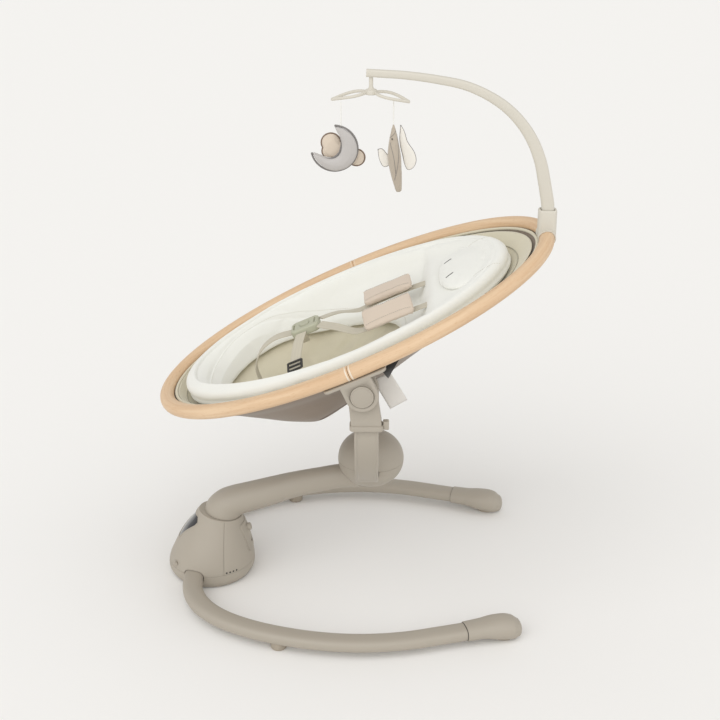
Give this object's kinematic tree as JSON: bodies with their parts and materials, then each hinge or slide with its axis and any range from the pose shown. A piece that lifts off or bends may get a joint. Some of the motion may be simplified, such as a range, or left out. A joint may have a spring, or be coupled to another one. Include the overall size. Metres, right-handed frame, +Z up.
{
  "type": "baby swing",
  "caption": "Electric baby swing with a horseshoe base, motor housing, tilted swing arm, reclining bucket seat on a yoke, harness and toy bar with a turning mobile.",
  "frame": {"origin": "on the floor, under the middle of the object's plan outline", "axes": "+Z up, +X from the seat's foot end to its head end, +Y from the child's left to the child's right"},
  "size_m": [0.6924, 0.5848, 0.9492],
  "materials": {
    "frame_plastic": "moulded greige plastic, fine satin texture",
    "light_plastic": "moulded warm light grey plastic, satin",
    "panel_gloss": "near-black gloss touch panel",
    "dark_plastic": "dark moulded plastic",
    "rubber_feet": "grey-beige rubber",
    "steel": "ground steel",
    "coil_copper": "enamelled copper winding",
    "board_green": "glass-fibre board",
    "wood_look": "beech-look film on a moulded tube, satin",
    "shell_fabric": "taupe woven polyester",
    "liner_fabric": "pale sage-beige woven lining",
    "cushion_fabric": "off-white cotton jersey over wadding",
    "pad_fabric": "pale beige padded fabric",
    "webbing": "woven polyester webbing",
    "buckle_plastic": "sage grey moulded plastic",
    "label_cloth": "white satin label, blank",
    "moon_fabric": "light grey felted fabric with dark piping",
    "cloud_fabric": "beige brushed fabric with dark piping",
    "bird_fabric": "grey-beige brushed fabric",
    "string_cotton": "twisted cotton string"
  },
  "bodies": {
    "base": {"left_leg_tube": "frame_plastic", "right_leg_tube": "frame_plastic", "left_foot_boot": "frame_plastic", "right_foot_boot": "frame_plastic", "left_foot_pad": "rubber_feet", "right_foot_pad": "rubber_feet", "left_mid_foot": "rubber_feet", "right_mid_foot": "rubber_feet", "housing_bottom_tray": "frame_plastic", "housing_front_shell": "frame_plastic", "housing_rear_shell": "frame_plastic", "control_panel": "panel_gloss", "rear_cover": "frame_plastic", "dc_inlet": "dark_plastic", "lower_bearing": "steel", "upper_bearing": "steel", "drive_coil": "coil_copper", "circuit_board": "board_green"},
    "swing_arm": {"swing_axle": "steel", "magnet_lever": "dark_plastic", "swing_arm_tube": "frame_plastic", "hub_upper_shell": "frame_plastic", "hub_lower_shell": "frame_plastic", "left_yoke_arm": "frame_plastic", "right_yoke_arm": "frame_plastic"},
    "seat_posts": {"left_seat_post": "frame_plastic", "right_seat_post": "frame_plastic"},
    "seat": {"rim_head_half": "wood_look", "rim_foot_half": "wood_look", "seat_shell": "shell_fabric", "seat_liner": "liner_fabric", "inlay_cushion": "cushion_fabric", "head_pad": "cushion_fabric", "left_hinge_cover": "frame_plastic", "right_hinge_cover": "frame_plastic", "left_shoulder_pad": "pad_fabric", "right_shoulder_pad": "pad_fabric", "crotch_strap": "webbing", "left_waist_strap": "webbing", "right_waist_strap": "webbing", "left_shoulder_strap": "webbing", "right_shoulder_strap": "webbing", "buckle_body": "buckle_plastic", "care_label": "label_cloth", "toy_bar_clip": "light_plastic"},
    "toy_bar": {"toy_arch": "light_plastic"},
    "mobile": {"mobile_hanger": "light_plastic"},
    "moon": {"moon_toy": "moon_fabric", "cloud_toy": "cloud_fabric", "moon_string": "string_cotton"},
    "bird": {"bird_toy": "bird_fabric", "bird_string": "string_cotton"},
    "left_recline_key": {"left_recline_button": "frame_plastic"},
    "right_recline_key": {"right_recline_button": "frame_plastic"},
    "left_release_key": {"left_release_button": "frame_plastic"},
    "right_release_key": {"right_release_button": "frame_plastic"},
    "power_key": {"power_button": "frame_plastic"},
    "left_leg_key": {"left_leg_button": "frame_plastic"},
    "right_leg_key": {"right_leg_button": "frame_plastic"},
    "buckle_key": {"buckle_button": "buckle_plastic"}
  },
  "joints": [
    {"name": "swing", "type": "hinge", "parent": "base", "child": "swing_arm", "pos_m": [-0.24178, 0, 0.1212], "axis": [0.1822, 0, 0.9833], "range_deg": [-12, 12]},
    {"name": "seat_lift", "type": "slide", "parent": "swing_arm", "child": "seat_posts", "axis": [0, 0, 1], "range_m": [0, 0.028]},
    {"name": "recline", "type": "hinge", "parent": "seat_posts", "child": "seat", "pos_m": [0.02102, 0, 0.481], "axis": [0, 1, 0], "range_deg": [0, 16]},
    {"name": "toy_bar_pull", "type": "slide", "parent": "seat", "child": "toy_bar", "axis": [0, 0, 1], "range_m": [0, 0.022]},
    {"name": "mobile_spin", "type": "hinge", "parent": "toy_bar", "child": "mobile", "pos_m": [0.03202, 0, 0.912], "axis": [0, 0, 1], "continuous": true},
    {"name": "moon_swing", "type": "hinge", "parent": "mobile", "child": "moon", "pos_m": [-0.01698, -0.014, 0.8985], "axis": [1, 0, 0], "range_deg": [-30, 30]},
    {"name": "bird_swing", "type": "hinge", "parent": "mobile", "child": "bird", "pos_m": [0.06902, -0.01, 0.9025], "axis": [1, 0, 0], "range_deg": [-30, 30]},
    {"name": "left_recline_press", "type": "slide", "parent": "seat", "child": "left_recline_key", "axis": [0, 1, 0], "range_m": [0, 0.004], "stiffness_N_per_m": 600, "springref_m": -0.004},
    {"name": "right_recline_press", "type": "slide", "parent": "seat", "child": "right_recline_key", "axis": [0, -1, 0], "range_m": [0, 0.004], "stiffness_N_per_m": 600, "springref_m": -0.004},
    {"name": "left_release_press", "type": "slide", "parent": "seat_posts", "child": "left_release_key", "axis": [-1, 0, 0], "range_m": [0, 0.003], "stiffness_N_per_m": 600, "springref_m": -0.003},
    {"name": "right_release_press", "type": "slide", "parent": "seat_posts", "child": "right_release_key", "axis": [-1, 0, 0], "range_m": [0, 0.003], "stiffness_N_per_m": 600, "springref_m": -0.003},
    {"name": "power_press", "type": "slide", "parent": "base", "child": "power_key", "axis": [-0.9652, 0, -0.2614], "range_m": [0, 0.0025], "stiffness_N_per_m": 600, "springref_m": -0.0025},
    {"name": "left_leg_lock", "type": "slide", "parent": "base", "child": "left_leg_key", "axis": [0, 1, 0], "range_m": [0, 0.003], "stiffness_N_per_m": 600, "springref_m": -0.003},
    {"name": "right_leg_lock", "type": "slide", "parent": "base", "child": "right_leg_key", "axis": [0, -1, 0], "range_m": [0, 0.003], "stiffness_N_per_m": 600, "springref_m": -0.003},
    {"name": "buckle_press", "type": "slide", "parent": "seat", "child": "buckle_key", "axis": [0.4106, 0, -0.9118], "range_m": [0, 0.002], "stiffness_N_per_m": 600, "springref_m": -0.002}
  ]
}
